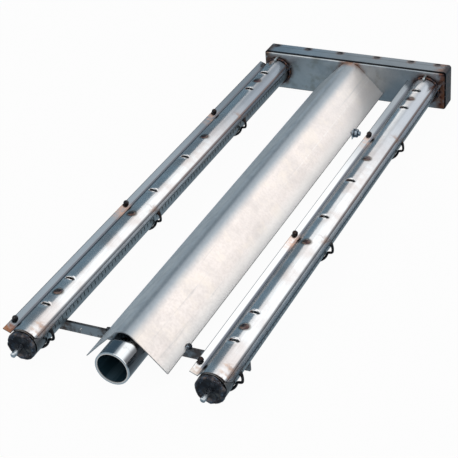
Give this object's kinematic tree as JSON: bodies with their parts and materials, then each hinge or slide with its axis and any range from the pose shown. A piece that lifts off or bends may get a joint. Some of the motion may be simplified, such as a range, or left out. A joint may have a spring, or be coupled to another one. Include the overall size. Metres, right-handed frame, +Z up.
{
  "type": "tube burner",
  "caption": "Tube burner with slotted burner tubes under winged sheet covers, a roofed mixing tube and a box manifold at the rear.",
  "frame": {"origin": "centre of the mixing tube's open mouth", "axes": "+Y along the tubes to the manifold, +X to the right seen from the mouth, +Z up"},
  "size_m": [0.2725, 0.745, 0.056],
  "materials": {
    "manifold_steel": "satin, rust-brown tint at the edges",
    "weld_steel": "matte, heat-stained",
    "polished_steel": "polished",
    "roof_sheet": "matte",
    "zinc_steel": "zinc plated",
    "bar_steel": "satin, heat-stained",
    "tube_steel": "satin",
    "black_steel": "blackened, satin",
    "cover_steel": "bright annealed, straw tint at the ends"
  },
  "bodies": {
    "root": {"manifold_front_plate": "manifold_steel", "manifold_band": "manifold_steel", "manifold_back_plate": "manifold_steel", "manifold_seam_welds": "weld_steel", "mixing_tube": "polished_steel", "mixing_tube_weld": "weld_steel", "roof_shield": "roof_sheet", "roof_tack_welds": "weld_steel", "roof_stud": "zinc_steel", "roof_washer": "zinc_steel", "roof_nut": "zinc_steel", "front_crossbar": "bar_steel", "crossbar_welds": "weld_steel", "burner_tube_left": "tube_steel", "burner_tube_right": "tube_steel", "tube_weld_left": "weld_steel", "tube_weld_right": "weld_steel", "end_cap_left": "black_steel", "end_cap_right": "black_steel", "support_stud_left": "zinc_steel", "support_stud_right": "zinc_steel", "cover_left": "cover_steel", "cover_right": "cover_steel", "cover_welds_left": "weld_steel", "cover_welds_right": "weld_steel", "cover_tack_welds": "zinc_steel", "wire_clip_left_front": "black_steel", "wire_clip_left_middle": "black_steel", "wire_clip_left_rear": "black_steel", "wire_clip_right_front": "black_steel", "wire_clip_right_middle": "black_steel", "wire_clip_right_rear": "black_steel"}
  },
  "joints": []
}
